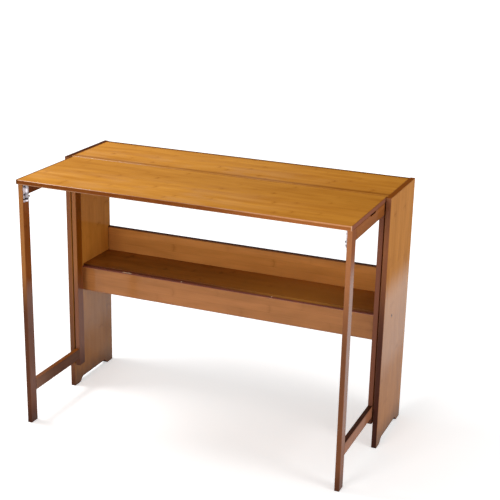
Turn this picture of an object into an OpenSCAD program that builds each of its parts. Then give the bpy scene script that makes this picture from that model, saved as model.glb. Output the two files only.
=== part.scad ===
// Folding desk in bamboo boards: a narrow body with a shelf, a drop leaf and two gate legs.
// X runs along the desk, Y from the user to the back and Z up from the floor.
// It is drawn with the gates swung out and the leaf lying on them.

/* [Overall size] */
// Width over the outer faces of the side panels
desk_w = 1014; // [860:1:1300]
// Height of the side panels
desk_h = 750; // [690:1:820]
// Front-to-back depth of the side panels
body_d = 242; // [200:1:320]

/* [Side panels] */
// Thickness of the side panels
side_t = 15; // [14:0.5:20]
// Length of the front foot below the cut-out
front_foot = 28; // [15:1:45]
// Length of the back foot below the cut-out
back_foot = 33; // [15:1:45]
// Height of the foot cut-out
foot_cut_h = 15; // [8:1:30]
// Run of the curved shoulder at each end of the cut-out
shoulder_run = 24; // [10:1:35]

/* [Top and leaf] */
// Thickness of the fixed top and of the leaf
top_t = 14; // [12.5:0.5:20]
// Step from the side panels' top edges down to the fixed top
top_drop = 1; // [0.5:0.5:4]
// Distance of the fixed top's front edge behind the side panels' front edges
seam_back = 18; // [17:0.5:24]
// Gap between the fixed top and the leaf
seam_gap = 1; // [0.6:0.1:2]
// Front-to-back depth of the leaf
leaf_d = 307; // [302:1:320]
// Gap between each end of the leaf and the side panel's inner face
leaf_end_gap = 2; // [1:0.5:5]
// Corner radius of the leaf, seen from above
leaf_corner_r = 5; // [3.5:0.5:12]
// Rounding of the leaf's long edges
leaf_edge_r = 3; // [1:0.5:3]
// Rounding of every other board's edges
board_edge_r = 1.5; // [0.5:0.5:2]

/* [Shelf] */
// Height of the shelf's upper face
shelf_h = 392; // [330:1:460]
// Thickness of the shelf
shelf_t = 14; // [12:0.5:20]
// Thickness of the apron and of the back rail
rail_board_t = 14; // [12:0.5:18]
// Distance of the apron's front face behind the side panels' front edges
apron_back = 55.5; // [55.5:0.5:70]
// Height of the apron board
apron_h = 76; // [50:1:110]
// Step from the shelf's upper face down to the apron's top edge
apron_step = 6; // [2:1:10]
// Height of the back rail above the shelf
back_rail_h = 79; // [40:1:120]

/* [Gates] */
// Length of a gate from its stile's back edge to its leg's front edge
gate_w = 314; // [309:1:320]
// Thickness of the gate members
gate_t = 14; // [12:0.5:14]
// Width of the gate leg
leg_w = 32; // [28:1:45]
// Width of the gate stile
stile_w = 32; // [24:1:45]
// Height of each gate rail
gate_rail_h = 35; // [25:1:50]
// Height of the bottom rail's lower edge
bottom_rail_z = 95; // [85:1:130]
// Height of the stile's lower end
stile_foot_z = 73; // [40:1:80]
// Running gap between a gate and the leaf above it
gate_top_gap = 0.4; // [0.3:0.1:1]
// Distance of the gate's hinge axis behind the side panels' front edges
gate_axis_back = 37.5; // [36:0.5:37.5]
// Distance from the hinge axis to the stile's back edge
stile_off = 3.5; // [2.6:0.1:4]
// Length of the tenons on the gate rails
tenon_l = 20; // [12:1:22]
// Thickness of the tenons on the gate rails
tenon_t = 6; // [4:0.5:7]
// Shoulder above and below each tenon
tenon_shoulder = 6; // [4:1:8]

/* [Hinges] */
// Length of every butt hinge
hinge_l = 38; // [30:1:50]
// Thickness of the hinge plates
hinge_t = 1; // [0.8:0.1:1.2]
// Outside diameter of the hinge barrel
barrel_d = 4; // [3.6:0.1:4.6]
// Diameter of the hinge pin
pin_d = 2; // [1.6:0.1:2.2]
// Radial clearance of the pin in its knuckles
pin_clear = 0.05; // [0.02:0.01:0.08]
// Number of knuckles in a hinge
knuckle_n = 5; // [3:2:7]
// Gap between neighbouring knuckles
knuckle_gap = 0.3; // [0.2:0.1:0.6]
// Reach of a leaf hinge plate from its axis
leaf_plate_w = 25; // [20:0.5:27]
// Reach of a gate hinge plate from its axis
gate_plate_w = 19; // [15:0.5:24]
// Rounding of the hinge plates' free corners
hinge_corner_r = 2; // [0.5:0.5:4]
// Depth that the gate's hinge plate is let into the stile
hinge_gain = 0.8; // [0.4:0.1:1]
// Distance from each end of the leaf to the middle of its nearer outer hinge
leaf_hinge_inset = 140; // [138:1:155]
// Height of the lower gate hinge
lower_hinge_z = 168; // [160:1:220]
// Distance from the gate's top down to its upper hinge
upper_hinge_drop = 71; // [60:1:120]

/* [Bolts] */
// Width of a barrel bolt's base plate
bolt_plate_w = 26; // [22:1:28]
// Height of a barrel bolt's base plate
bolt_plate_h = 50; // [46:1:60]
// Thickness of a barrel bolt's base plate
bolt_plate_t = 1.2; // [0.8:0.1:1.5]
// Rounding of a base plate's corners
bolt_corner_r = 3; // [1:0.5:4]
// Gap from the base plate's upper end to the gate's top
bolt_plate_drop = 4; // [3:0.5:8]
// Diameter of the bolt rod
rod_d = 5; // [4:0.5:6]
// Radial clearance of the rod in its guides
rod_clear = 0.15; // [0.1:0.05:0.3]
// Gap between the rod and the base plate
rod_gap = 0.4; // [0.3:0.1:1]
// Thickness of the straps that guide the rod
guide_wall = 1; // [0.8:0.1:1.5]
// Height of the lower strap
lower_guide_h = 9; // [6:1:10]
// Height of the upper strap
upper_guide_h = 12; // [8:1:13]
// Diameter of the rod's knob
knob_head_d = 6; // [5:0.5:7]
// Length of the knob from the rod's axis
knob_l = 9; // [8:0.5:11]
// Travel of the bolt rod
rod_travel = 8; // [5:1:9]
// Depth of the holes that take the bolt rod
strike_depth = 10; // [9.5:0.5:11]

/* [Fasteners] */
// Diameter of the hinge and bolt screws
screw_d = 3; // [2.5:0.1:3.2]
// Diameter of the screw heads
screw_head_d = 5.4; // [4.8:0.1:5.8]
// Length of the screws
screw_l = 10; // [8:0.5:11]
// Diameter of the dowels in the body's joints
dowel_d = 8; // [6:0.5:9]
// Length of the dowels
dowel_l = 30; // [24:1:36]
// Diameter of the shelf screws
shelf_screw_d = 5; // [4:0.5:6]
// Length of the shelf screws
shelf_screw_l = 50; // [40:1:60]

/* [Hidden] */

// Body: the origin lies on the floor below the middle of the open desk
open_d = body_d - seam_back + seam_gap + leaf_d;
back_y = open_d / 2;
front_y = back_y - body_d;
inner_x = desk_w / 2 - side_t;
top_z = desk_h - top_drop;
top_front_y = front_y + seam_back;
leaf_back_y = top_front_y - seam_gap;
under_z = top_z - top_t;
leaf_l = 2 * (inner_x - leaf_end_gap);
apron_y = front_y + apron_back;
apron_top_z = shelf_h - apron_step;
shelf_y = apron_y + rail_board_t;
back_rail_y = back_y - rail_board_t;
back_rail_z = shelf_h - shelf_t;
notch_points = 8;

// Hinges: the barrel stands just clear of the face that its plates are screwed to
barrel_clear = 0.1;
barrel_r = barrel_d / 2;
mount_off = barrel_r + barrel_clear;
plate_start = barrel_r + knuckle_gap;
hinge_screw_dz = hinge_l / 2 - 8;
leaf_hinge_y = (top_front_y + leaf_back_y) / 2;
leaf_hinge_z = under_z - mount_off;
leaf_hinge_x = leaf_l / 2 - leaf_hinge_inset;
leaf_hinges = [-leaf_hinge_x, 0, leaf_hinge_x];

// Gates: measured from the hinge axis, u along the gate and v through its thickness
gate_axis_x = -inner_x + mount_off;
gate_axis_y = front_y + gate_axis_back;
gate_v = mount_off - hinge_gain;
gate_end = stile_off + gate_w;
gate_top_z = under_z - gate_top_gap;
stile_end = stile_off + stile_w;
leg_start = gate_end - leg_w;
upper_hinge_z = gate_top_z - upper_hinge_drop;
// A notch in the top rail lets the outer leaf hinge through as the gate swings below it
notch_clear = 1;
hinge_near_x = -gate_axis_x - leaf_hinge_x - hinge_l / 2;
hinge_far_x = -gate_axis_x - leaf_hinge_x + hinge_l / 2;
hinge_reach_y = leaf_plate_w + abs(leaf_hinge_y - gate_axis_y);
notch_near = sqrt(pow(hinge_near_x, 2) - pow(gate_v + gate_t, 2)) - notch_clear;
notch_far = sqrt(pow(hinge_far_x, 2) + pow(hinge_reach_y, 2)) + notch_clear;
notch_h = barrel_r + mount_off + notch_clear;

// Bolts: the rod runs close to its base plate, below two straps
guide_d = rod_d + 2 * (rod_clear + guide_wall);
guide_foot = 1.4;
rod_u = gate_end - leg_w / 2;
rod_v = gate_v + gate_t + bolt_plate_t + rod_gap + rod_d / 2;
rod_chamfer = 0.8;
bolt_top_z = gate_top_z - bolt_plate_drop;
bolt_low_z = bolt_top_z - bolt_plate_h;
rod_top_z = gate_top_z - 0.6;
rod_low_z = bolt_low_z + 1;
knob_neck_d = 3.5;
knob_head_h = 3.5;
knob_turn = 45;
knob_rest_gap = 3.6;
knob_end_gap = 1.5;
lower_guide_z = bolt_low_z + 2;
knob_z = lower_guide_z + lower_guide_h + knob_rest_gap + knob_neck_d / 2;
upper_guide_z = knob_z + knob_neck_d / 2 + rod_travel + knob_end_gap;
strike_d = rod_d + 2;
bolt_screw_du = bolt_plate_w / 2 - 4;
bolt_screw_drops = [5, 28];

// Fasteners: a cross in each small screw's head and a six-sided socket in each shelf screw's
screw_clear = 0.05;
cross_w = 0.7;
shelf_head_h = shelf_screw_d / 2;
shelf_socket_d = 0.7 * shelf_screw_d;
dowel_clear = 0.05;
dowel_in_side = side_t * 0.6;

bamboo = "#B5762F";
bamboo_dark = "#7A4526";
steel = "#B9BAC0";
blackened = "#4A3A30";

// A rectangle with rounded corners, its near left corner at the origin
module eased_rect(w, d, r) {
    translate([r, 0]) square([w - 2 * r, d]);
    translate([0, r]) square([w, d - 2 * r]);
    for (x = [r, w - r], y = [r, d - r]) translate([x, y]) circle(r = r, $fn = 32);
}

// A board with every edge eased, its lowest corner at the origin
module eased_board(size, r, corner) {
    intersection() {
        linear_extrude(size[2]) eased_rect(size[0], size[1], corner);
        rotate([90, 0, 90]) linear_extrude(size[0]) eased_rect(size[1], size[2], r);
        translate([0, size[1], 0]) rotate([90, 0, 0]) linear_extrude(size[1])
            eased_rect(size[0], size[2], r);
    }
}

// Everything is drawn for the left side, and the right side is its mirror image
module on_side(side) {
    if (side > 0) mirror([1, 0, 0]) children();
    else children();
}

// Screw with a countersunk cross head, its head's face at the origin and its shank along -Z
module wood_screw() {
    difference() {
        union() {
            translate([0, 0, -hinge_t]) cylinder(h = hinge_t, d1 = screw_d, d2 = screw_head_d, $fn = 32);
            translate([0, 0, -screw_l]) cylinder(h = screw_l - hinge_t + 0.1, d = screw_d, $fn = 32);
        }
        for (a = [0, 90]) rotate([0, 0, a]) cube([screw_head_d * 0.55, cross_w, hinge_t], center = true);
    }
}

// The hole that a screw stands in, with its countersink
module screw_hole() {
    translate([0, 0, -screw_l - 1]) cylinder(h = screw_l + 2, d = screw_d + 2 * screw_clear, $fn = 32);
    translate([0, 0, -hinge_t]) cylinder(h = hinge_t + 0.01, d1 = screw_d + 2 * screw_clear,
        d2 = screw_head_d + 2 * screw_clear, $fn = 32);
}

// The flat of a hinge plate, its barrel side along Y and its free corners rounded
module hinge_flat(w) {
    straight_l = hinge_l - 2 * hinge_corner_r;
    translate([0, -hinge_l / 2]) square([w - hinge_corner_r, hinge_l]);
    translate([0, -straight_l / 2]) square([w, straight_l]);
    for (s = [-1, 1]) translate([w - hinge_corner_r, s * straight_l / 2])
        circle(r = hinge_corner_r, $fn = 32);
}

// One plate of a butt hinge: axis along Z, plate towards +X, mounting face towards +Y
module hinge_plate(plate_w, first) {
    pitch = hinge_l / knuckle_n;
    difference() {
        union() {
            translate([plate_start, mount_off, 0]) rotate([90, 0, 0]) linear_extrude(hinge_t)
                hinge_flat(plate_w - plate_start);
            for (k = [first : 2 : knuckle_n - 1])
                translate([0, 0, -hinge_l / 2 + k * pitch + knuckle_gap / 2]) {
                    cylinder(h = pitch - knuckle_gap, d = barrel_d, $fn = 32);
                    translate([-0.6, mount_off - hinge_t, 0])
                        cube([plate_start + 1, hinge_t, pitch - knuckle_gap]);
                }
        }
        translate([0, 0, -hinge_l]) cylinder(h = 2 * hinge_l, d = pin_d + 2 * pin_clear, $fn = 32);
        hinge_screws_at(plate_w) screw_hole();
    }
}

// Puts its children at a plate's two screws, heads facing away from the mounting face
module hinge_screws_at(plate_w) {
    for (s = [-1, 1]) translate([(plate_start + plate_w) / 2, mount_off - hinge_t, s * hinge_screw_dz])
        rotate([90, 0, 0]) children();
}

module hinge_pin() {
    cylinder(h = hinge_l + 0.4, d = pin_d, center = true, $fn = 32);
}

// Puts a hinge's children on the leaf axis, plate towards the fixed top or towards the leaf
module leaf_hinge_at(x, on_leaf) {
    translate([x, leaf_hinge_y, leaf_hinge_z]) mirror([0, on_leaf, 0]) rotate([90, 0, 90]) children();
}

// Puts a hinge's children on the gate axis, plate towards the gate or towards the side panel
module gate_hinge_at(z, on_panel) {
    translate([gate_axis_x, gate_axis_y, z]) mirror([on_panel, 0, 0]) rotate([0, 0, -90]) children();
}

// Places a gate's children: u becomes -Y and v becomes +X
module in_gate() {
    translate([gate_axis_x, gate_axis_y, 0]) rotate([0, 0, -90]) children();
}

// The pieces of the body
module side_panel(side) {
    function shoulder(y0, y1) = [for (k = [0 : notch_points])
        [y0 + (y1 - y0) * k / notch_points, foot_cut_h * (1 - cos(180 * k / notch_points)) / 2]];
    function turned(list) = [for (k = [len(list) - 1 : -1 : 0]) list[k]];
    near = shoulder(front_foot, front_foot + shoulder_run);
    far = turned(shoulder(body_d - back_foot, body_d - back_foot - shoulder_run));
    outline = concat([[0, 0]], near, far, [[body_d, 0], [body_d, desk_h], [0, desk_h]]);
    color(bamboo) on_side(side) difference() {
        translate([-desk_w / 2, front_y, 0]) intersection() {
            rotate([90, 0, 90]) linear_extrude(side_t) polygon(outline);
            linear_extrude(desk_h) eased_rect(side_t, body_d, board_edge_r);
            translate([0, body_d, -desk_h]) rotate([90, 0, 0]) linear_extrude(body_d)
                eased_rect(side_t, 2 * desk_h, board_edge_r);
        }
        dowels_at() translate([0, 0, -1]) cylinder(h = dowel_l + 2, d = dowel_d + 2 * dowel_clear,
            center = true, $fn = 32);
        shelf_screw_at() shelf_screw_hole();
        for (z = [lower_hinge_z, upper_hinge_z]) gate_hinge_at(z, 1) hinge_screws_at(gate_plate_w)
            screw_hole();
    }
}

module fixed_top() {
    color(bamboo) difference() {
        translate([-inner_x, top_front_y, under_z])
            eased_board([2 * inner_x, back_y - top_front_y, top_t], board_edge_r, board_edge_r);
        for (x = leaf_hinges) leaf_hinge_at(x, 0) hinge_screws_at(leaf_plate_w) screw_hole();
        for (side = [-1, 1]) on_side(side) {
            top_dowels_at() dowel_hole();
            translate([gate_axis_x + rod_u, gate_axis_y + rod_v, under_z - 1])
                cylinder(h = strike_depth + 1, d = strike_d, $fn = 32);
        }
    }
}

module shelf_board() {
    color(bamboo_dark) difference() {
        translate([-inner_x, shelf_y, shelf_h - shelf_t])
            cube([2 * inner_x, back_rail_y - shelf_y, shelf_t]);
        for (side = [-1, 1]) on_side(side) {
            shelf_dowels_at() dowel_hole();
            shelf_screw_at() shelf_screw_hole();
        }
    }
}

module back_rail() {
    color(bamboo) difference() {
        translate([-inner_x, back_rail_y, back_rail_z])
            eased_board([2 * inner_x, rail_board_t, shelf_t + back_rail_h], board_edge_r, board_edge_r);
        for (side = [-1, 1]) on_side(side) rail_dowels_at() dowel_hole();
    }
}

module front_apron() {
    color(bamboo) difference() {
        translate([-inner_x, apron_y, apron_top_z - apron_h])
            eased_board([2 * inner_x, rail_board_t, apron_h], board_edge_r, board_edge_r);
        for (side = [-1, 1]) on_side(side) apron_dowels_at() dowel_hole();
    }
}

// Dowel places on the left side, each with its axis along X and its middle past the panel's face
module dowel_spot(y, z) {
    translate([-inner_x + dowel_l / 2 - dowel_in_side, y, z]) rotate([0, 90, 0]) children();
}

module top_dowels_at() {
    depth = back_y - top_front_y;
    for (share = [0.15, 0.5, 0.85]) dowel_spot(top_front_y + share * depth, top_z - top_t / 2) children();
}

module shelf_dowels_at() {
    depth = back_rail_y - shelf_y;
    for (share = [0.5, 0.85]) dowel_spot(shelf_y + share * depth, shelf_h - shelf_t / 2) children();
}

module rail_dowels_at() {
    height = shelf_t + back_rail_h;
    for (share = [0.25, 0.75]) dowel_spot(back_rail_y + rail_board_t / 2, back_rail_z + share * height)
        children();
}

module apron_dowels_at() {
    for (share = [0.25, 0.75]) dowel_spot(apron_y + rail_board_t / 2, apron_top_z - share * apron_h)
        children();
}

module dowels_at() {
    top_dowels_at() children();
    shelf_dowels_at() children();
    rail_dowels_at() children();
    apron_dowels_at() children();
}

module dowel_hole() {
    cylinder(h = dowel_l + 2 * dowel_clear, d = dowel_d + 2 * dowel_clear, center = true, $fn = 32);
}

module carcase_dowels() {
    color(bamboo) for (side = [-1, 1]) on_side(side) dowels_at()
        cylinder(h = dowel_l, d = dowel_d, center = true, $fn = 32);
}

// The shelf screws enter through the side panels, close behind the shelf's front edge
module shelf_screw_at() {
    translate([-desk_w / 2, shelf_y + 2 * shelf_screw_d, shelf_h - shelf_t / 2]) rotate([0, 90, 0])
        children();
}

module shelf_screw_hole() {
    hole_d = shelf_screw_d + 2 * screw_clear;
    translate([0, 0, -1]) cylinder(h = shelf_screw_l + 2, d = hole_d, $fn = 32);
    translate([0, 0, -0.01]) cylinder(h = shelf_head_h, d1 = hole_d + shelf_screw_d, d2 = hole_d, $fn = 32);
}

module shelf_screws() {
    color(blackened) for (side = [-1, 1]) on_side(side) shelf_screw_at() difference() {
        union() {
            cylinder(h = shelf_screw_l, d = shelf_screw_d, $fn = 32);
            cylinder(h = shelf_head_h, d1 = 2 * shelf_screw_d, d2 = shelf_screw_d, $fn = 32);
        }
        translate([0, 0, -0.5]) cylinder(h = shelf_head_h, d = shelf_socket_d, $fn = 6);
    }
}

// The leaf
module drop_leaf() {
    color(bamboo) difference() {
        translate([-leaf_l / 2, leaf_back_y - leaf_d, under_z])
            eased_board([leaf_l, leaf_d, top_t], leaf_edge_r, leaf_corner_r);
        for (x = leaf_hinges) leaf_hinge_at(x, 1) hinge_screws_at(leaf_plate_w) screw_hole();
        for (side = [-1, 1]) on_side(side)
            translate([gate_axis_x + rod_v, gate_axis_y - rod_u, under_z - 1])
                cylinder(h = strike_depth + 1, d = strike_d, $fn = 32);
    }
}

// The leaf's three hinges
module leaf_hinge_top_plate(x) {
    color(steel) leaf_hinge_at(x, 0) hinge_plate(leaf_plate_w, 0);
}

module leaf_hinge_leaf_plate(x) {
    color(steel) leaf_hinge_at(x, 1) hinge_plate(leaf_plate_w, 1);
}

module leaf_hinge_pin(x) {
    color(steel) leaf_hinge_at(x, 0) hinge_pin();
}

module top_hinge_screws() {
    color(steel) for (x = leaf_hinges) leaf_hinge_at(x, 0) hinge_screws_at(leaf_plate_w) wood_screw();
}

module leaf_hinge_screws() {
    color(steel) for (x = leaf_hinges) leaf_hinge_at(x, 1) hinge_screws_at(leaf_plate_w) wood_screw();
}

// The gates' members, with mortises in the uprights for the rails' tenons
module tenon(u, z, extra) {
    translate([u, gate_v + (gate_t - tenon_t - extra) / 2, z + tenon_shoulder - extra / 2])
        cube([tenon_l + extra, tenon_t + extra, gate_rail_h - 2 * tenon_shoulder + extra]);
}

module mortises(u) {
    for (z = [bottom_rail_z, gate_top_z - gate_rail_h]) tenon(u, z, 0.1);
}

module gate_leg(side) {
    color(bamboo) on_side(side) in_gate() difference() {
        translate([leg_start, gate_v, 0]) linear_extrude(gate_top_z)
            eased_rect(leg_w, gate_t, board_edge_r);
        mortises(leg_start - 0.05);
        bolt_screws_at() screw_hole();
    }
}

module gate_stile(side) {
    color(bamboo) on_side(side) difference() {
        in_gate() difference() {
            translate([stile_off, gate_v, stile_foot_z]) linear_extrude(gate_top_z - stile_foot_z)
                eased_rect(stile_w, gate_t, board_edge_r);
            mortises(stile_end - tenon_l - 0.05);
            for (z = [lower_hinge_z, upper_hinge_z])
                translate([0, gate_v - 1, z - hinge_l / 2 - 0.1])
                    cube([gate_plate_w + 0.1, hinge_gain + 1, hinge_l + 0.2]);
        }
        for (z = [lower_hinge_z, upper_hinge_z]) gate_hinge_at(z, 0) hinge_screws_at(gate_plate_w)
            screw_hole();
    }
}

module gate_rail_bar(z) {
    translate([stile_end, gate_v, z]) rotate([90, 0, 90])
        linear_extrude(leg_start - stile_end) eased_rect(gate_t, gate_rail_h, board_edge_r);
    tenon(stile_end - tenon_l, z, 0);
    tenon(leg_start, z, 0);
}

module gate_top_rail(side) {
    color(bamboo) on_side(side) in_gate() difference() {
        gate_rail_bar(gate_top_z - gate_rail_h);
        translate([notch_near, gate_v - 1, gate_top_z - notch_h])
            cube([notch_far - notch_near, gate_t + 2, notch_h + 1]);
        bolt_screws_at() screw_hole();
    }
}

module gate_bottom_rail(side) {
    color(bamboo) on_side(side) in_gate() gate_rail_bar(bottom_rail_z);
}

// The gates' hinges
module gate_hinge_panel_plate(z, side) {
    color(steel) on_side(side) gate_hinge_at(z, 1) hinge_plate(gate_plate_w, 0);
}

module gate_hinge_gate_plate(z, side) {
    color(steel) on_side(side) gate_hinge_at(z, 0) hinge_plate(gate_plate_w, 1);
}

module gate_hinge_pin(z, side) {
    color(steel) on_side(side) gate_hinge_at(z, 0) hinge_pin();
}

module panel_hinge_screws() {
    color(steel) for (side = [-1, 1], z = [lower_hinge_z, upper_hinge_z]) on_side(side)
        gate_hinge_at(z, 1) hinge_screws_at(gate_plate_w) wood_screw();
}

module gate_hinge_screws(side) {
    color(steel) for (z = [lower_hinge_z, upper_hinge_z]) on_side(side)
        gate_hinge_at(z, 0) hinge_screws_at(gate_plate_w) wood_screw();
}

// The barrel bolts that lock the gates to the leaf
module bolt_screws_at() {
    for (s = [-1, 1], drop = bolt_screw_drops)
        translate([rod_u + s * bolt_screw_du, gate_v + gate_t + bolt_plate_t, bolt_top_z - drop])
            rotate([-90, 0, 0]) children();
}

// The outline of a strap, seen along the rod: an arch on two feet, open towards the base plate
module strap_outline() {
    rise = rod_gap + rod_d / 2;
    difference() {
        union() {
            circle(d = guide_d, $fn = 48);
            translate([-guide_d / 2, -rise]) square([guide_d, rise]);
            translate([-guide_d / 2 - guide_foot, -rise]) square([guide_d + 2 * guide_foot, guide_wall]);
        }
        circle(d = rod_d + 2 * rod_clear, $fn = 48);
        translate([-rod_d / 2 - rod_clear, -rise]) square([rod_d + 2 * rod_clear, rise]);
    }
}

module bolt_guide(side) {
    face_v = gate_v + gate_t;
    color(steel) on_side(side) in_gate() difference() {
        union() {
            translate([rod_u - bolt_plate_w / 2, face_v + bolt_plate_t, bolt_low_z]) rotate([90, 0, 0])
                linear_extrude(bolt_plate_t) eased_rect(bolt_plate_w, bolt_plate_h, bolt_corner_r);
            translate([rod_u, rod_v, lower_guide_z]) linear_extrude(lower_guide_h) strap_outline();
            translate([rod_u, rod_v, upper_guide_z]) linear_extrude(upper_guide_h) strap_outline();
        }
        bolt_screws_at() screw_hole();
    }
}

// The knob: a neck on the rod's axis and a domed head, drawn upright
module bolt_knob() {
    dome_r = knob_head_d / 2;
    dome_z = knob_l - knob_head_h + 1;
    rise = knob_head_h - 1;
    dome = [for (a = [0 : 15 : 90]) [dome_r * cos(a), dome_z + rise * sin(a)]];
    cylinder(h = knob_l - knob_head_h + 0.5, d = knob_neck_d, $fn = 32);
    rotate_extrude($fn = 32) polygon(concat([[0, dome_z - 1], [dome_r - 0.6, dome_z - 1]], dome));
}

module bolt_rod(side) {
    rod_h = rod_top_z - rod_low_z;
    end_r = rod_d / 2 - rod_chamfer;
    color(steel) on_side(side) in_gate() translate([rod_u, rod_v, 0]) union() {
        translate([0, 0, rod_low_z]) rotate_extrude($fn = 48) polygon([[0, 0], [end_r, 0],
            [rod_d / 2, rod_chamfer], [rod_d / 2, rod_h - rod_chamfer], [end_r, rod_h], [0, rod_h]]);
        translate([0, 0, knob_z]) rotate([-90, 0, knob_turn]) bolt_knob();
    }
}

module bolt_screws(side) {
    color(steel) on_side(side) in_gate() bolt_screws_at() wood_screw();
}

side_panel(-1);  // side_panel_left
side_panel(1);  // side_panel_right
fixed_top();
shelf_board();
back_rail();
front_apron();
carcase_dowels();
shelf_screws();
drop_leaf();
leaf_hinge_top_plate(leaf_hinges[0]);  // leaf_hinge_left_top_plate
leaf_hinge_leaf_plate(leaf_hinges[0]);  // leaf_hinge_left_leaf_plate
leaf_hinge_pin(leaf_hinges[0]);  // leaf_hinge_left_pin
leaf_hinge_top_plate(leaf_hinges[1]);  // leaf_hinge_middle_top_plate
leaf_hinge_leaf_plate(leaf_hinges[1]);  // leaf_hinge_middle_leaf_plate
leaf_hinge_pin(leaf_hinges[1]);  // leaf_hinge_middle_pin
leaf_hinge_top_plate(leaf_hinges[2]);  // leaf_hinge_right_top_plate
leaf_hinge_leaf_plate(leaf_hinges[2]);  // leaf_hinge_right_leaf_plate
leaf_hinge_pin(leaf_hinges[2]);  // leaf_hinge_right_pin
top_hinge_screws();
leaf_hinge_screws();
gate_leg(-1);  // gate_leg_left
gate_stile(-1);  // gate_stile_left
gate_top_rail(-1);  // gate_top_rail_left
gate_bottom_rail(-1);  // gate_bottom_rail_left
gate_leg(1);  // gate_leg_right
gate_stile(1);  // gate_stile_right
gate_top_rail(1);  // gate_top_rail_right
gate_bottom_rail(1);  // gate_bottom_rail_right
gate_hinge_panel_plate(upper_hinge_z, -1);  // upper_hinge_panel_plate_left
gate_hinge_gate_plate(upper_hinge_z, -1);  // upper_hinge_gate_plate_left
gate_hinge_pin(upper_hinge_z, -1);  // upper_hinge_pin_left
gate_hinge_panel_plate(lower_hinge_z, -1);  // lower_hinge_panel_plate_left
gate_hinge_gate_plate(lower_hinge_z, -1);  // lower_hinge_gate_plate_left
gate_hinge_pin(lower_hinge_z, -1);  // lower_hinge_pin_left
gate_hinge_panel_plate(upper_hinge_z, 1);  // upper_hinge_panel_plate_right
gate_hinge_gate_plate(upper_hinge_z, 1);  // upper_hinge_gate_plate_right
gate_hinge_pin(upper_hinge_z, 1);  // upper_hinge_pin_right
gate_hinge_panel_plate(lower_hinge_z, 1);  // lower_hinge_panel_plate_right
gate_hinge_gate_plate(lower_hinge_z, 1);  // lower_hinge_gate_plate_right
gate_hinge_pin(lower_hinge_z, 1);  // lower_hinge_pin_right
panel_hinge_screws();
gate_hinge_screws(-1);  // gate_hinge_screws_left
gate_hinge_screws(1);  // gate_hinge_screws_right
bolt_guide(-1);  // bolt_guide_left
bolt_rod(-1);  // bolt_rod_left
bolt_screws(-1);  // bolt_screws_left
bolt_guide(1);  // bolt_guide_right
bolt_rod(1);  // bolt_rod_right
bolt_screws(1);  // bolt_screws_right
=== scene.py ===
"""Folding desk in laminated bamboo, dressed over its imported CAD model. Sizes are in metres."""
from functools import partial
from itertools import count
from math import cos, pi, radians, sin

import bpy
from mathutils import Matrix, Vector


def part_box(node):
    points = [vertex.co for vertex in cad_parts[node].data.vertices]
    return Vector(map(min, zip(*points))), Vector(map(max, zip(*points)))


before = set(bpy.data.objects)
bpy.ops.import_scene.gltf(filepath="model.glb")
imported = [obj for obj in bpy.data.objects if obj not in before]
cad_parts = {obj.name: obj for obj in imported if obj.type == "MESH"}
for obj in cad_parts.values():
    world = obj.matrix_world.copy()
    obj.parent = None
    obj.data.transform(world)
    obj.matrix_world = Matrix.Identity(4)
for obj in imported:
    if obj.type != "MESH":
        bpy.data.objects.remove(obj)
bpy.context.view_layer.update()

# Side panels
# The two boards that carry the desk. Each is three plies of flat bamboo strips glued and pressed,
# sawn to shape with a low cut-out between its feet. The stain soaks into the sawn edges, which come
# out darker than the faces, and a clear lacquer closes the wood.

PANEL_STRIP = 0.024
PANEL_PALE = "#C98538"
PANEL_DEEP = "#A46620"
# The two panels are one bamboo: where their colours differ, that is painted light and shade, and the
# pinker tone low on the right panel is a painted reflection of the pale floor
PANEL_FINISH = {
    "left": dict(stain="#85543A", end="#4E2812", tone="#4A2014", edge_tone="#2E2224", wet_coat=0.75,
                 foot={"From": 0.44, "To": 0.15, "On Face": 0.45, "On Edge": 0.3,
                       "Shine From": 0.4, "Shine To": 0.35, "Shine Fade": 0.16}),
    "right": dict(stain="#84523A", end="#844612", tone="#6A3830", edge_tone="#2C1418", wet_coat=0.6,
                  foot={"From": 0.6, "To": 0.3, "On Face": 0.35, "On Edge": 0.8,
                        "Shine From": 0.53, "Shine To": 0.43, "Shine Fade": 0.24})}
FOOT_CUT_HEIGHT = 0.015
FRONT_FOOT = 0.028
BACK_FOOT = 0.033
SHOULDER_RUN = 0.024
PLY = 0.005
NODE_SPACING = 0.3
NODE_HALO = 0.014
NODE_RING = 0.0035
GLUE_LINE = "#5A3418"
SAWN_EDGE = "#3C1C18"
SOAK_REACH = 0.004
END_GRAIN = "#2A1206"
END_GRAIN_COAT = 0.01
FOOT_DARKENING = "#321611"
FOOT_DARKENING_HEIGHT = 0.075
# Waves per metre along a board's grain, across it and through it
FIBRES = (16, 1500, 1500)
STREAKS = (13, 170, 170)
CLOUDS = (7, 40, 40)
PATCHES = (35, 90, 90)
# Turns a board's own axes (along the grain, across it, through it) to the desk's
BOARD_TURNS = {
    "XYZ": (0, 0, 0), "XZY": (pi / 2, 0, 0), "ZYX": (0, -pi / 2, 0), "YZX": (pi / 2, 0, pi / 2)}


def srgb(code):
    """A colour written as #RRGGBB, as the linear colour that a shader takes."""
    parts = [int(code[k:k + 2], 16) / 255 for k in (1, 3, 5)]
    return [*(c / 12.92 if c <= 0.04045 else ((c + 0.055) / 1.055) ** 2.4 for c in parts), 1.0]


def feed(tree, inputs, values):
    """Links each value that is a socket to its input, and sets the others."""
    for key, value in values.items():
        if isinstance(value, bpy.types.NodeSocket):
            tree.links.new(value, inputs[key])
        else:
            inputs[key].default_value = value


def fit_node(tree, kind, values=None, **settings):
    """Adds a shader node, sets it and feeds its inputs."""
    node = tree.nodes.new("ShaderNode" + kind)
    for name, value in settings.items():
        setattr(node, name, value)
    feed(tree, node.inputs, values or {})
    return node


def reckon(tree, operation, *values):
    """One step of arithmetic on sockets or numbers."""
    return fit_node(tree, "Math", dict(enumerate(values)), operation=operation).outputs[0]


def reckon_vector(tree, operation, *values):
    """One step of arithmetic on vectors."""
    return fit_node(tree, "VectorMath", dict(enumerate(values)), operation=operation).outputs[0]


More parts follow.
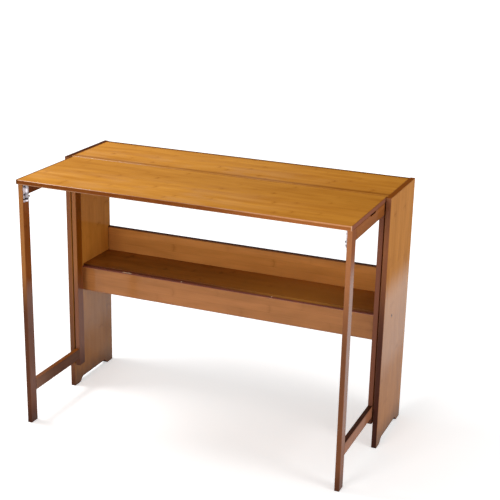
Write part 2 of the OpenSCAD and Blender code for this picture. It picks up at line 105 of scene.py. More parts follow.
def product(tree, result, *factors):
    """Multiplies sockets or numbers."""
    for factor in factors:
        result = reckon(tree, "MULTIPLY", result, factor)
    return result


def varied(tree, base, noise, weight):
    """A base that strays up and down with a noise, whose middle is a half."""
    return reckon(tree, "MULTIPLY_ADD", reckon(tree, "SUBTRACT", noise, 0.5), weight, base)


def between(tree, amount, low, high):
    """A number that goes from low to high as amount goes from 0 to 1."""
    return fit_node(tree, "Mix", {0: amount, 2: low, 3: high}).outputs[0]


def ease(tree, value, low, high, to_low=0.0, to_high=1.0):
    """Eases value from to_low at low to to_high at high."""
    inputs = dict(enumerate((value, low, high, to_low, to_high)))
    return fit_node(tree, "MapRange", inputs, interpolation_type="SMOOTHSTEP").outputs[0]


def split(tree, vector):
    """The three parts of a vector."""
    return fit_node(tree, "SeparateXYZ", {0: vector}).outputs


def grain_noise(tree, place, waves, detail=2.0):
    """Smooth noise between 0 and 1, with so many waves per metre along each axis."""
    place = reckon_vector(tree, "MULTIPLY", place, waves)
    return fit_node(tree, "TexNoise", {"Vector": place, "Scale": 1.0, "Detail": detail}).outputs[0]


def tinted(tree, amount, colour, tint, how="MIX"):
    """Mixes a colour towards a tint."""
    mix = fit_node(tree, "Mix", {0: amount, 6: colour, 7: tint}, data_type="RGBA", blend_type=how)
    return mix.outputs[2]


def bumped(tree, height, strength, distance):
    """The normals of a surface with a fine relief."""
    relief = {"Height": height, "Strength": strength, "Distance": distance}
    return fit_node(tree, "Bump", relief).outputs[0]


def new_effect(name, inputs, outputs):
    """A shader node group, with its inputs and outputs as seen from inside. Both are listed by kind."""
    group = bpy.data.node_groups.new(name, "ShaderNodeTree")
    for in_out, kinds in (("INPUT", inputs), ("OUTPUT", outputs)):
        for kind, labels in kinds.items():
            for label in labels:
                group.interface.new_socket(label, in_out=in_out, socket_type="NodeSocket" + kind)
    return group, group.nodes.new("NodeGroupInput").outputs, group.nodes.new("NodeGroupOutput").inputs


def use_effect(tree, effect, values):
    """Places an effect in a material with its own values, and gives what it puts out."""
    return fit_node(tree, "Group", values, node_tree=effect).outputs


def new_material(name):
    """A material with its node tree, the inputs of its shader and the place on the piece."""
    material = bpy.data.materials.new(name)
    material.use_nodes = True
    tree = material.node_tree
    place = fit_node(tree, "TexCoord").outputs["Object"]
    return material, tree, tree.nodes["Principled BSDF"].inputs, place


def make_bamboo_strips():
    """Glued strips along X with staggered nodes, fibres and faint glue lines, in layers along Z."""
    group, given, out = new_effect(
        "Bamboo strips",
        dict(Vector=["Vector"], Float=["Strip Width", "Seed"], Color=["Pale", "Deep"]),
        dict(Color=["Color"], Float=["Fibre", "Height"]))
    along, across, through = split(group, given["Vector"])
    ply = reckon(group, "FLOOR", reckon(group, "ADD", reckon(group, "DIVIDE", through, PLY), 0.5))
    lane = reckon(group, "MULTIPLY_ADD", ply, 0.37, reckon(group, "DIVIDE", across, given["Strip Width"]))
    lane = reckon(group, "ADD", lane, given["Seed"])
    strip = reckon(group, "FLOOR", lane)
    in_strip = reckon(group, "SUBTRACT", reckon(group, "FRACT", lane), 0.5)
    tag = fit_node(group, "CombineXYZ", {0: strip, 1: ply, 2: given["Seed"]}).outputs[0]
    chance = fit_node(group, "TexWhiteNoise", {"Vector": tag}, noise_dimensions="3D").outputs["Color"]
    chance = fit_node(group, "SeparateColor", {0: chance}).outputs
    # Nodes: one ring for each length of stem, bowed across its strip and out of step with the next
    bowed = reckon(group, "MULTIPLY_ADD", product(group, in_strip, in_strip), 0.016, along)
    stem = product(group, NODE_SPACING, reckon(group, "MULTIPLY_ADD", chance[1], 0.4, 0.8))
    stems = reckon(group, "MULTIPLY_ADD", chance[0], 7.0, reckon(group, "DIVIDE", bowed, stem))
    from_node = reckon(group, "ABSOLUTE", reckon(group, "SUBTRACT", reckon(group, "FRACT", stems), 0.5))
    from_node = product(group, from_node, stem)
    strength = product(group, chance[1], 0.6)
    halo = product(group, ease(group, from_node, NODE_HALO, 0.0), strength)
    ring = product(group, ease(group, from_node, NODE_RING, 0.0004), strength)
    # Fibres: fine ones seen close by, and broad streaks that show from a step away
    drift = fit_node(group, "CombineXYZ", {0: product(group, chance[2], 23.0)}).outputs[0]
    place = reckon_vector(group, "ADD", given["Vector"], drift)
    fine = grain_noise(group, place, FIBRES, 3.0)
    broad = grain_noise(group, place, STREAKS)
    cloud = grain_noise(group, given["Vector"], CLOUDS)
    tone = varied(group, 0.44, chance[2], 0.22)
    for part, weight in ((fine, 0.35), (broad, 0.42), (cloud, 1.0)):
        tone = varied(group, tone, part, weight)
    tone = reckon(group, "MULTIPLY_ADD", halo, reckon(group, "MULTIPLY_ADD", broad, 0.8, 0.1), tone)
    tone = reckon(group, "MULTIPLY_ADD", ring, 0.4, tone)
    colour = tinted(group, tone, given["Pale"], given["Deep"])
    glue = ease(group, reckon(group, "ABSOLUTE", in_strip), 0.482, 0.5)
    colour = tinted(group, product(group, glue, 0.3), colour, srgb(GLUE_LINE), "MULTIPLY")
    height = reckon(group, "SUBTRACT", reckon(group, "MULTIPLY_ADD", ring, 0.25, fine), glue)
    feed(group, out, {"Color": colour, "Fibre": fine, "Height": height})
    return group


def make_sawn_edges():
    """Dark stain where a board was sawn, with a little soaked into the face beside each edge."""
    group, given, out = new_effect(
        "Sawn edges",
        dict(Vector=["Vector", "Half Size"], Float=["Cut"], Color=["Color", "Stain", "End Stain"]),
        dict(Color=["Color"], Float=["Mask", "End"]))
    from_middle = reckon_vector(group, "ABSOLUTE", given["Vector"])
    depth = reckon_vector(group, "SUBTRACT", given["Half Size"], from_middle)
    from_end, from_side, below_face = split(group, depth)
    from_end = reckon(group, "MINIMUM", from_end, given["Cut"])
    uneven = grain_noise(group, given["Vector"], PATCHES)
    on_side = ease(group, below_face, 0.00015, 0.0011)
    edge = reckon(group, "MAXIMUM", on_side, ease(group, from_end, 0.0006, 0.0))
    near = reckon(group, "MINIMUM", from_side, from_end)
    darkening = product(group, ease(group, near, SOAK_REACH, SOAK_REACH * 0.2), uneven, 0.7)
    mask = reckon(group, "MAXIMUM", edge, darkening)
    shade = product(group, mask, reckon(group, "MULTIPLY_ADD", uneven, -0.25, 1.05))
    colour = tinted(group, shade, given["Color"], given["Stain"])
    # End grain drinks the most stain, and what the saw left along the cut-out is as open
    end = product(group, ease(group, from_end, 0.0012, 0.0004), edge)
    end = reckon(group, "MAXIMUM", end, ease(group, given["Cut"], 0.0035, 0.0012, 0.0, 0.8))
    colour = tinted(group, end, colour, given["End Stain"])
    feed(group, out, {"Color": colour, "Mask": mask, "End": end})
    return group


def make_low_tone_and_painted_reflection():
    """Darker towards a board's lower end, in tones that on some boards are a pinkish painted reflection
    of the pale floor, and a wetter shine that fades again near its foot.
    """
    group, given, out = new_effect(
        "Low tone and painted reflection",
        dict(Vector=["Vector"], Color=["Color", "Tone", "Edge Tone"],
             Float=["Height", "Edge", "From", "To", "On Face", "On Edge", "Shine From", "Shine To",
                    "Shine Fade", "Toe"]),
        dict(Color=["Color"], Float=["Shine"]))
    wander = grain_noise(group, given["Vector"], (6, 25, 25))
    height = varied(group, given["Height"], wander, 0.05)
    weight = between(group, given["Edge"], given["On Face"], given["On Edge"])
    amount = product(group, ease(group, height, given["From"], given["To"]), weight)
    tone = tinted(group, given["Edge"], given["Tone"], given["Edge Tone"])
    colour = tinted(group, amount, given["Color"], tone)
    above_toe = reckon(group, "SUBTRACT", height, given["Toe"])
    toe = ease(group, above_toe, FOOT_DARKENING_HEIGHT, 0.0, 0.0, 0.55)
    colour = tinted(group, toe, colour, srgb(FOOT_DARKENING))
    above_fade = reckon(group, "SUBTRACT", height, given["Shine Fade"])
    fade = ease(group, above_fade, -0.05, 0.05, 0.5, 1.0)
    shine = product(group, ease(group, height, given["Shine From"], given["Shine To"]), fade)
    feed(group, out, {"Color": colour, "Shine": shine})
    return group


def from_foot_cut(tree, own, half):
    """Distance above the cut-out between a panel's feet, whose ends are rounded shoulders."""
    axes = split(tree, own)
    front_foot = FRONT_FOOT - half[1]
    back_foot = half[1] - BACK_FOOT
    front = ease(tree, axes[1], front_foot, front_foot + SHOULDER_RUN)
    rear = ease(tree, axes[1], back_foot, back_foot - SHOULDER_RUN)
    above_floor = reckon(tree, "ADD", axes[0], half[0])
    return reckon(tree, "SUBTRACT", above_floor, product(tree, front, rear, FOOT_CUT_HEIGHT))


def finish_node(node, material):
    """Puts a finish on a CAD node."""
    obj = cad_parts[node]
    if not obj.material_slots:
        obj.data.materials.append(material)
    for slot in obj.material_slots:
        slot.material = material


bamboo_strips = make_bamboo_strips()
sawn_edges = make_sawn_edges()
low_tone_and_painted_reflection = make_low_tone_and_painted_reflection()
# Each board takes the next number, so that no two have the same strips
board_numbers = count(1)


def finish_board(node, axes, pale, deep, strip, stain=SAWN_EDGE, end=END_GRAIN, coat=0.06,
                 edge_coat=0.06, foot=None, tone=FOOT_DARKENING, edge_tone=None, wet_coat=None, gloss=None,
                 marks=None, cut=None):
    """Stains and lacquers one board, whose length, width and thickness lie along the given axes.
    pale and deep are the tones of its strips, stain and end those of its sawn edges and end grain.
    foot gives the heights between which its colour turns to tone, or on its edges to edge_tone, and how
    far, and those between which the coat of its faces changes to wet_coat, and where that fades again.
    Three functions of the board's own place and half size are for single boards: gloss gives the coat
    of the faces, the next one changes the colour with stain and with painted light, shade and
    highlights, and cut gives the distance from a cut-out."""
    material, tree, surface, place = new_material(node)
    low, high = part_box(node)
    half = [((high - low) / 2)["XYZ".index(axis)] for axis in axes]
    on_board = {"Vector": place, "Location": (low + high) / 2, "Rotation": BOARD_TURNS[axes]}
    own = fit_node(tree, "Mapping", on_board, vector_type="TEXTURE").outputs[0]
    strips = use_effect(tree, bamboo_strips, {
        "Vector": own, "Strip Width": strip, "Seed": next(board_numbers) * 3.17, "Pale": srgb(pale),
        "Deep": srgb(deep)})
    edges = use_effect(tree, sawn_edges, {
        "Vector": own, "Half Size": half, "Cut": cut(tree, own, half) if cut else 1.0,
        "Color": strips["Color"], "Stain": srgb(stain), "End Stain": srgb(end)})
    # Some boards take marks in their colour: stain, and painted light, shade, highlights and glints
    colour = marks(tree, own, half, edges["Color"]) if marks else edges["Color"]
    face_coat = gloss(tree, own, half) if gloss else coat
    # Darker towards the foot, on some boards in pinkish tones of painted reflection, and a wetter coat
    if foot:
        toned = use_effect(tree, low_tone_and_painted_reflection, {
            "Vector": own, "Height": split(tree, place)[2], "Toe": low.z, "Edge": edges["Mask"],
            "Color": colour, "Tone": srgb(tone), "Edge Tone": srgb(edge_tone or tone), **foot})
        colour = toned["Color"]
        face_coat = between(tree, toned["Shine"], coat, wet_coat)
    varnish = between(tree, edges["Mask"], face_coat, edge_coat)
    # All the gloss is the lacquer's, since shine on the wood itself would wash out its stain
    feed(tree, surface, {
        "Base Color": colour,
        "Roughness": reckon(tree, "MULTIPLY_ADD", strips["Fibre"], 0.14, 0.27),
        "Specular IOR Level": 0.0,
        "Coat Weight": between(tree, edges["End"], varnish, END_GRAIN_COAT),
        "Coat Roughness": 0.12,
        "Normal": bumped(tree, strips["Height"], 0.25, 0.0002)})
    finish_node(node, material)


for side in ("left", "right"):
    finish_board("side_panel_" + side, "ZYX", PANEL_PALE, PANEL_DEEP, PANEL_STRIP, coat=0.1,
                 cut=from_foot_cut, **PANEL_FINISH[side])

# Fixed top
# The narrow board between the side panels, dowelled a millimetre below their top edges. Its strips
# run along the desk, under a pale stain and a lacquer that lies in soft clouds. A band of painted shade
# lies behind its front edge, where the leaf meets it, and the board is darker along its back. A painted
# highlight runs along the left of its front edge, and painted shade deepens it towards its right end.

TOP_STRIP = 0.021
TOP_PALE = "#D8953A"
TOP_DEEP = "#AE6D20"
TOP_STAIN = "#783A10"
# How strongly the fixed top's front edge carries its painted highlight
TOP_HIGHLIGHTS = {"Left": 0.8, "Middle": 0.05, "Right": 0.06, "Right Corner": 0.0}
TOP_LINES = {"Back Reach": 0.015, "Back Left": 1.0, "Back Right": 0.95, "Left End": 0.0, "Front": 0.46}
DARK_LINE = "#6A3C08"
# The band of painted shade behind the fixed top's front edge, and how far it reaches
SEAM_SHADE = "#602002"
SEAM_SHADE_REACH = 0.03
# Painted light on the right of the tops' front edges, painted shade at their right ends, and the colours
# and reach of the painted highlights along their front edges
PAINTED_EDGE_LIGHT = "#B06A34"
RIGHT_END_SHADE = "#9A4016"
HIGHLIGHT_PALE = "#F2C8A8"
HIGHLIGHT_RIGHT = "#E0A272"
HIGHLIGHT_REACH = 0.002


def to_right_end(tree, along):
    """0 up to the middle of a top board, and 1 near its right end."""
    return ease(tree, along, 0.02, 0.36)


def make_painted_edge_highlights():
    """Painted highlights along the front corners, and painted shade towards the right end."""
    group, given, out = new_effect(
        "Painted edge highlights",
        dict(Vector=["Vector", "Half Size"], Float=["Left", "Middle", "Right", "Right Corner"],
             Color=["Color"]),
        dict(Color=["Color"]))
    axes = split(group, given["Vector"])
    half = split(group, given["Half Size"])
    to_right = to_right_end(group, axes[0])
    leftward = ease(group, axes[0], -0.1, -0.42, given["Middle"], given["Left"])
    uneven = reckon(group, "MULTIPLY_ADD", grain_noise(group, given["Vector"], PATCHES), 0.8, 0.5)
    highlight = product(group, between(group, to_right, leftward, given["Right"]), uneven)
    # Only the front edge carries the painted highlight, in a wider band to the right, where the edge
    # is painted lighter too
    from_front = reckon(group, "ADD", axes[1], half[1])
    front = ease(group, from_front, 0.0016, 0.0008)
    below_top = reckon(group, "SUBTRACT", half[2], axes[2])
    reach = reckon(group, "MULTIPLY_ADD", to_right, HIGHLIGHT_REACH * 1.1, HIGHLIGHT_REACH)
    upper = ease(group, reckon(group, "DIVIDE", below_top, reach), 1.1, 0.7)
    lower = ease(group, reckon(group, "ADD", half[2], axes[2]), 0.0034, 0.0018, 0.0, 0.4)
    corner = product(group, reckon(group, "MAXIMUM", upper, lower), front, highlight)
    lighter = product(group, to_right, given["Right"], front)
    # A painted glint on the rounded right front corner
    from_right = reckon(group, "SUBTRACT", half[0], axes[0])
    upright = product(group, ease(group, from_right, 0.004, 0.002),
                      ease(group, from_front, 0.003, 0.0015), given["Right Corner"])
    # Painted shade deepens the tone towards the right end
    right_shade = ease(group, axes[0], 0.0, 0.42, 0.0, 0.1)
    colour = tinted(group, right_shade, given["Color"], srgb(RIGHT_END_SHADE))
    colour = tinted(group, lighter, colour, srgb(PAINTED_EDGE_LIGHT))
    highlights = tinted(group, to_right, srgb(HIGHLIGHT_PALE), srgb(HIGHLIGHT_RIGHT))
    colour = tinted(group, corner, colour, highlights)
    feed(group, out, {"Color": tinted(group, upright, colour, srgb(HIGHLIGHT_PALE))})
    return group


def make_dark_lines():
    """Darker along the back of a board and at its left end, and painted shade in a band along its front.
    """
    group, given, out = new_effect(
        "Dark lines",
        dict(Vector=["Vector", "Half Size"], Color=["Color"],
             Float=["Back Reach", "Back Left", "Back Right", "Left End", "Front"]),
        dict(Color=["Color"]))
    axes = split(group, given["Vector"])
    half = split(group, given["Half Size"])
    from_back = reckon(group, "SUBTRACT", half[1], axes[1])
    back = product(group, ease(group, reckon(group, "DIVIDE", from_back, given["Back Reach"]), 1.3, 0.5),
                   ease(group, axes[0], -0.3, 0.0, given["Back Left"], given["Back Right"]))
    from_left = reckon(group, "ADD", axes[0], half[0])
    left_end = product(group, ease(group, from_left, 0.009, 0.005), given["Left End"])
    line = reckon(group, "MAXIMUM", back, left_end)
    colour = tinted(group, line, given["Color"], srgb(DARK_LINE))
    # The band of painted shade along the front is a little wider and darker to the right
    to_right = to_right_end(group, axes[0])
    from_front = reckon(group, "ADD", axes[1], half[1])
    uneven = reckon(group, "MULTIPLY_ADD", grain_noise(group, given["Vector"], PATCHES), 0.5, 0.75)
    fade = reckon(group, "MULTIPLY_ADD", to_right, SEAM_SHADE_REACH / 9, SEAM_SHADE_REACH)
    band = product(group, ease(group, from_front, fade, product(group, fade, 0.45)),
                   ease(group, from_front, 0.001, 0.01, 0.3, 1.0), given["Front"],
                   reckon(group, "MULTIPLY_ADD", to_right, 0.12, 1.0), uneven)
    feed(group, out, {"Color": tinted(group, band, colour, srgb(SEAM_SHADE))})
    return group


def clouded_gloss(tree, own, half):
    """A coat in soft clouds, thicker over the front half of a board and thin at its right end."""
    axes = split(tree, own)
    to_front = ease(tree, reckon(tree, "DIVIDE", axes[1], half[1]), 0.45, -0.4)
    to_left = ease(tree, axes[0], half[0] * 0.8, 0.0, 0.1, 1.0)
    cloud = ease(tree, grain_noise(tree, own, (9, 26, 26)), 0.4, 0.65, 0.0, 0.11)
    return product(tree, to_left, reckon(tree, "MULTIPLY_ADD", to_front, cloud, 0.05))


painted_edge_highlights = make_painted_edge_highlights()
dark_lines = make_dark_lines()


def top_highlights_and_lines(tree, own, half, colour, highlights, lines):
    """Painted highlights and painted shade on a top board, and how dark its darker lines are."""
    board = {"Vector": own, "Half Size": half}
    colour = use_effect(tree, painted_edge_highlights, {"Color": colour, **board, **highlights})["Color"]
    return use_effect(tree, dark_lines, {"Color": colour, **board, **lines})["Color"]


finish_board("fixed_top", "XYZ", TOP_PALE, TOP_DEEP, TOP_STRIP, stain=TOP_STAIN, edge_coat=0.08,
             gloss=clouded_gloss, marks=partial(top_highlights_and_lines, highlights=TOP_HIGHLIGHTS, lines=TOP_LINES))

# Shelf
# A board between the panels, with the apron against its front edge and the back rail against its
# back edge. It was stained darker than the tops, and painted light brightens a wide patch right of
# its middle.

SHELF_PAINTED_LIGHT = "#B87E33"


def painted_light_right_of_middle(tree, own, half, colour):
    """Painted light right of a board's middle, which is nearly gone again at its right end."""
    along = split(tree, own)[0]
    lighter = product(tree, ease(tree, along, -0.15, 0.3), ease(tree, along, 0.25, half[0], 1.0, 0.1), 0.65)
    return tinted(tree, lighter, colour, srgb(SHELF_PAINTED_LIGHT))


finish_board("shelf_board", "XYZ", pale="#955E24", deep="#6E4014", strip=0.022, stain="#5E3020",
             coat=0.25, marks=painted_light_right_of_middle)

# Back rail and apron
# Two boards on edge that stiffen the desk. The apron ends a little below the shelf's face, and the
# back rail stands above it and keeps things from falling off. The rail is darker below its top edge,
# with painted shade towards its left end, and three painted glints lie on the apron's top edge.

# Painted glints on the apron's top edge: their colour, and their middles and half lengths along it
GLINT_COLOUR = "#FFEFD6"
GLINT_PLACES = ((-0.337, 0.0185), (-0.15, 0.0022), (0.145, 0.0022))


def painted_glints(tree, own, half, colour):
    """Painted glints along the back corner of a top edge, in places given by their middle and half
    length.
    """
    axes = split(tree, own)
    on_edge = ease(tree, reckon(tree, "SUBTRACT", half[1], axes[1]), 0.002, 0.001)
    corner = product(tree, on_edge, ease(tree, axes[2], 0.002, -0.002))
    for middle, reach in GLINT_PLACES:
        away = reckon(tree, "ABSOLUTE", reckon(tree, "SUBTRACT", axes[0], middle))
        spot = product(tree, ease(tree, away, reach, reach * 0.6), corner)
        colour = tinted(tree, spot, colour, srgb(GLINT_COLOUR))
    return colour


def dark_top_and_shaded_left(tree, own, half, colour):
    """Darker faces below a top edge, and painted shade towards the left end."""
    axes = split(tree, own)
    from_top = reckon(tree, "SUBTRACT", half[1], axes[1])
    darkening = ease(tree, from_top, 0.0055, 0.002, 0.0, 0.7)
    darkening = reckon(tree, "MAXIMUM", darkening, ease(tree, from_top, 0.022, 0.004, 0.0, 0.16))
    # Painted shade towards the left end
    darkening = reckon(tree, "MAXIMUM", darkening, ease(tree, axes[0], 0.35, -half[0], 0.0, 0.17))
    return tinted(tree, darkening, colour, srgb(SAWN_EDGE))


RAIL_BOARDS = {
    "back_rail": dict(pale="#DA934C", deep="#B47536", coat=0.1, marks=dark_top_and_shaded_left),
    "front_apron": dict(pale="#BC7B47", deep="#966131", coat=0.4, stain="#946058", edge_coat=0.2,
                        marks=painted_glints)}

for node, finish in RAIL_BOARDS.items():
    finish_board(node, "XZY", strip=0.0245, **finish)

# Dowels
# Turned birch pegs that join the boards to the side panels. They are left bare, since glue takes
# only on bare wood, and nothing of them shows on the finished desk.


def bare_birch():
    material, tree, surface, place = new_material("bare_birch")
    lines = grain_noise(tree, place, (20, 900, 900), 3.0)
    feed(tree, surface, {
        "Base Color": tinted(tree, lines, srgb("#DDC08E"), srgb("#B98F57")),
        "Roughness": reckon(tree, "MULTIPLY_ADD", lines, 0.2, 0.5),
        "Normal": bumped(tree, lines, 0.3, 0.0003)})
    return material


finish_node("carcase_dowels", bare_birch())

# Shelf screws
# One countersunk screw through each side panel into the shelf's end, with a six-sided socket. They
# are browned, so that they don't stand out from the stained boards.


def make_metal_wear():
    """Fine upright scratches and soft smudges, for plated and browned steel."""
    group, given, out = new_effect(
        "Metal wear",
        dict(Vector=["Vector"], Float=["Roughness"], Color=["Clean", "Dull"]),
        dict(Color=["Color"], Float=["Roughness", "Height"]))
    smudge = grain_noise(group, given["Vector"], (90, 90, 90), 3.0)
    lines = grain_noise(group, given["Vector"], (1600, 1600, 90))
    colour = tinted(group, ease(group, smudge, 0.35, 0.75), given["Clean"], given["Dull"])
    rough = varied(group, varied(group, given["Roughness"], smudge, 0.3), lines, 0.15)
    feed(group, out, {"Color": colour, "Roughness": rough, "Height": lines})
    return group


metal_wear = make_metal_wear()


def plated_steel(name, clean, dull, rough, painted_shade=None):
    """Plated or browned steel. Its last argument is a function that darkens its colour by the place on
    the piece, as painted shade.
    """
    material, tree, surface, place = new_material(name)
    marks = use_effect(tree, metal_wear, {
        "Vector": place, "Clean": srgb(clean), "Dull": srgb(dull), "Roughness": rough})
    feed(tree, surface, {
        "Base Color": painted_shade(tree, place, marks["Color"]) if painted_shade else marks["Color"],
        "Metallic": 1.0,
        "Roughness": marks["Roughness"],
        "Normal": bumped(tree, marks["Height"], 0.08, 0.0001)})
    return material


finish_node("shelf_screws", plated_steel("browned_steel", "#5A463A", "#2E231D", 0.45))

# Leaf
# The wide board that makes the work surface. It hangs on three hinges, and its long edges are
# rounded over. Its front edge carries a painted highlight, strongest towards its two ends, with a
# painted glint on its right front corner, and painted shade deepens it towards its right end.

# How strongly the leaf's front edge and right corner carry their painted highlights
LEAF_HIGHLIGHTS = {"Left": 1.0, "Middle": 0.3, "Right": 0.8, "Right Corner": 0.5}
LEAF_LINES = {"Back Reach": 0.175, "Back Left": 0.13, "Back Right": 0.14, "Left End": 0.9, "Front": 0.0}

finish_board("drop_leaf", "XYZ", TOP_PALE, TOP_DEEP, TOP_STRIP, stain=TOP_STAIN, end="#8C5A46",
             edge_coat=0.08, gloss=clouded_gloss,
             marks=partial(top_highlights_and_lines, highlights=LEAF_HIGHLIGHTS, lines=LEAF_LINES))

# Leaf hinges
# Three small butt hinges under the seam, each two bent plates whose knuckles share one pin. They
# are zinc plated, and so are their screws.

hinge_steel = plated_steel("hinge_steel", "#C9C6C2", "#9A948E", 0.3)
screw_steel = plated_steel("screw_steel", "#BDB9B4", "#87817A", 0.28)
for place in ("left", "middle", "right"):
    for piece in ("top_plate", "leaf_plate", "pin"):
        finish_node(f"leaf_hinge_{place}_{piece}", hinge_steel)
for node in ("top_hinge_screws", "leaf_hinge_screws"):
    finish_node(node, screw_steel)

# Gates
# Two frames that swing out to carry the leaf: a long leg, a stile hung on the side panel, and two
# rails tenoned between them. They are planed from the same bamboo, with the strips along each piece.

# Each part is the same bamboo on both gates: where left and right colours differ, that is painted light
# and shade, and the pinkish tones low on the left leg and stile are painted reflection of the pale floor
LEGS = {
    "left": dict(pale="#965628", deep="#6E3812", stain="#A86E3C", tone="#4A2822", wet_coat=0.6,
                 foot={"From": 0.5, "To": 0.34, "On Face": 0.56, "On Edge": 0.86,
                       "Shine From": 0.47, "Shine To": 0.4, "Shine Fade": 0.1}),
    "right": dict(pale="#985A36", deep="#724020", stain="#B07248", tone="#3A1A18", wet_coat=0.75,
                  foot={"From": 0.66, "To": 0.38, "On Face": 0.15, "On Edge": 0.61,
                        "Shine From": 0.68, "Shine To": 0.58, "Shine Fade": 0.15})}
STILES = {
    "left": dict(pale="#86480E", deep="#623205", stain="#A26A42", tone="#6C4844", coat=0.02,
                 wet_coat=0.5, foot={"From": 0.42, "To": 0.3, "On Face": 0.4, "On Edge": 0.5,
                                     "Shine From": 0.42, "Shine To": 0.36, "Shine Fade": 0.1}),
    "right": dict(pale="#9D5E3A", deep="#764224", stain="#7A4C3A", wet_coat=0.1,
                  foot={"From": 0.5, "To": 0.3, "On Face": 0.1, "On Edge": 0.1,
                        "Shine From": 0.4, "Shine To": 0.3, "Shine Fade": 0.1})}
TOP_RAILS = {
    "left": dict(pale="#7E4418", deep="#5C2E0C", stain="#6A3412"),
    "right": dict(pale="#A06030", deep="#784420", stain="#6A3412")}
PALE_RAIL = "#A87E66"
RAIL_STRIP = 0.019


def paler_in_front(tree, own, half, colour):
    """Paler towards a rail's front end."""
    lighter = ease(tree, split(tree, own)[0], 0.0, -half[0], 0.0, 0.38)
    return tinted(tree, lighter, colour, srgb(PALE_RAIL))


LOW_RAILS = {
    "left": dict(pale="#6E4A36", deep="#503024", stain="#7C4416", coat=0.15, marks=paler_in_front),
    "right": dict(pale="#A87052", deep="#845238", stain="#3A1C0C", coat=0.3)}

for side in ("left", "right"):
    finish_board("gate_leg_" + side, "ZYX", strip=RAIL_STRIP, **LEGS[side])
    finish_board("gate_stile_" + side, "ZYX", strip=RAIL_STRIP, **STILES[side])
    finish_board("gate_top_rail_" + side, "YZX", strip=RAIL_STRIP, **TOP_RAILS[side])
    finish_board("gate_bottom_rail_" + side, "YZX", strip=RAIL_STRIP, **LOW_RAILS[side])

# Gate hinges
# Two butt hinges on each stile, one plate screwed to the side panel and the other let into the
# stile's face.

for side in ("left", "right"):
    for height in ("upper", "lower"):
        for piece in ("hinge_panel_plate", "hinge_gate_plate", "hinge_pin"):
            finish_node(f"{height}_{piece}_{side}", hinge_steel)
    finish_node("gate_hinge_screws_" + side, screw_steel)
finish_node("panel_hinge_screws", screw_steel)

# Barrel bolts
# A small bolt on the inner face of each leg: its rod slides up into a hole in the board above, and
# locks the gate there. Base plate, guides and rod are nickel plated, and their screws are blackened.
# Painted shade darkens the plate round the screws and in a line across the lower guide.

# Painted shade on the bolt plates, round the screws and in a line across the lower guide
BOLT_SHADE = "#2A2024"
SCREW_HEAD_RADIUS = 0.0027
BOLT_SHADE_REACH = 0.0045
SHADE_LINE_HEIGHT = 0.6895
SHADE_LINE_REACH = 0.0028


def painted_bolt_shade(tree, place, colour, side):
    """Painted shade on one bolt's plate, round its four screws and in a level line on its lower guide."""
    low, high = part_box("bolt_screws_" + side)
    axes = split(tree, place)
    squares = []
    for axis in (1, 2):
        middle = (low[axis] + high[axis]) / 2
        to_screw = (high[axis] - low[axis]) / 2 - SCREW_HEAD_RADIUS
        from_middle = reckon(tree, "ABSOLUTE", reckon(tree, "SUBTRACT", axes[axis], middle))
        spread = reckon(tree, "SUBTRACT", from_middle, to_screw)
        squares.append(product(tree, spread, spread))
    from_screw = reckon(tree, "SQRT", reckon(tree, "ADD", *squares))
    ring = ease(tree, from_screw, BOLT_SHADE_REACH, SCREW_HEAD_RADIUS, 0.0, 0.85)
    from_line = reckon(tree, "ABSOLUTE", reckon(tree, "SUBTRACT", axes[2], SHADE_LINE_HEIGHT))
    line = ease(tree, from_line, SHADE_LINE_REACH, SHADE_LINE_REACH * 0.6)
    return tinted(tree, reckon(tree, "MAXIMUM", ring, line), colour, srgb(BOLT_SHADE))


rod_steel = plated_steel("rod_steel", "#AAA6AA", "#8C868A", 0.5)
bolt_screw_steel = plated_steel("bolt_screw_steel", "#241F20", "#120F10", 0.4)
for side in ("left", "right"):
    plate_steel = plated_steel("bolt_plate_steel_" + side, "#DAD4D8", "#BEB6BA", 0.5,
                               painted_shade=partial(painted_bolt_shade, side=side))
    finish_node("bolt_guide_" + side, plate_steel)
    finish_node("bolt_rod_" + side, rod_steel)
    finish_node("bolt_screws_" + side, bolt_screw_steel)

# Floor, light and camera
# A plain pale studio floor, three soft round lamps above, in front and to the right, and a camera
# where the photograph was taken.


def seen_directly(tree):
    """1 for what the camera sees, also in a mirror or through glass, and 0 for what only lights."""
    rays = fit_node(tree, "LightPath").outputs
    mirrored = reckon(tree, "MAXIMUM", rays["Is Glossy Ray"], rays["Is Transmission Ray"])
    return reckon(tree, "MAXIMUM", rays["Is Camera Ray"], mirrored)


def paint_floor():
    """Matt pale paint that glows to the camera, more so far away, where it meets the background."""
    material, tree, surface, place = new_material("studio_floor")
    patch = grain_noise(tree, place, (1.5, 1.5, 1.5))
    away = fit_node(tree, "VectorMath", {0: place}, operation="LENGTH").outputs["Value"]
    feed(tree, surface, {
        "Base Color": tinted(tree, patch, srgb("#EEEEEE"), srgb("#F2F2F2")),
        "Roughness": 0.9,
        "Specular IOR Level": 0.0,
        "Emission Color": product(tree, seen_directly(tree), ease(tree, away, 0.4, 3.0, 0.45, 0.9)),
        "Emission Strength": 1.0})
    return material


bpy.ops.mesh.primitive_plane_add(size=60, location=(0, 0, 0))
floor = bpy.context.object
floor.name = "studio_floor"
floor.data.materials.append(paint_floor())

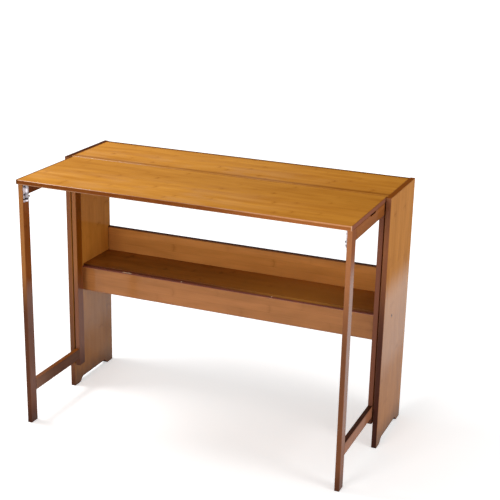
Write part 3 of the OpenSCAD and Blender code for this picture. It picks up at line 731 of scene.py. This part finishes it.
world = bpy.data.worlds.new("studio")
bpy.context.scene.world = world
world.use_nodes = True
sky = world.node_tree
brightness = ease(sky, seen_directly(sky), 0.0, 1.0, 0.38, 1.0)
feed(sky, sky.nodes["Background"].inputs, {"Color": (1, 1, 1, 1), "Strength": brightness})


def hang_lamp(name, place, target, size, watts):
    """A round soft lamp that shines at a target."""
    lamp = bpy.data.lights.new(name, "AREA")
    lamp.shape = "DISK"
    lamp.size = size
    lamp.energy = watts
    holder = bpy.data.objects.new(name, lamp)
    bpy.context.scene.collection.objects.link(holder)
    holder.location = place
    holder.rotation_euler = (Vector(target) - Vector(place)).to_track_quat("-Z", "Y").to_euler()


hang_lamp("key_lamp", (-1.4, -0.1, 2.4), target=(-0.1, -0.1, 0.7), size=0.9, watts=33)
hang_lamp("front_lamp", (-0.5, -3.3, 1.5), target=(0, 0, 0.5), size=1.5, watts=42)
hang_lamp("right_lamp", (3.0, -0.8, 0.95), target=(0.3, 0, 0.45), size=1.2, watts=32)

# The camera stands in front of the desk, to the right of it and above its top
VIEW_AZIMUTH = radians(22.28)
VIEW_ELEVATION = radians(18.85)
VIEW_ROLL = radians(1.33)
VIEW_TARGET = Vector((0.099, 0.024, 0.507))
VIEW_DISTANCE = 3.361

back = Vector((sin(VIEW_AZIMUTH) * cos(VIEW_ELEVATION), -cos(VIEW_AZIMUTH) * cos(VIEW_ELEVATION),
               sin(VIEW_ELEVATION)))
level = Vector((cos(VIEW_AZIMUTH), sin(VIEW_AZIMUTH), 0))
upright = back.cross(level)
right = level * cos(VIEW_ROLL) + upright * sin(VIEW_ROLL)
up = upright * cos(VIEW_ROLL) - level * sin(VIEW_ROLL)
camera_data = bpy.data.cameras.new("camera")
camera_data.lens = 84.17
camera_data.sensor_width = 36
camera_data.shift_x = 0.001
camera_data.shift_y = 0.0244
camera = bpy.data.objects.new("camera", camera_data)
bpy.context.scene.collection.objects.link(camera)
turn = Matrix((right, up, back)).transposed().to_4x4()
camera.matrix_world = Matrix.Translation(VIEW_TARGET + back * VIEW_DISTANCE) @ turn
bpy.context.scene.camera = camera
bpy.context.scene.view_settings.view_transform = "Standard"
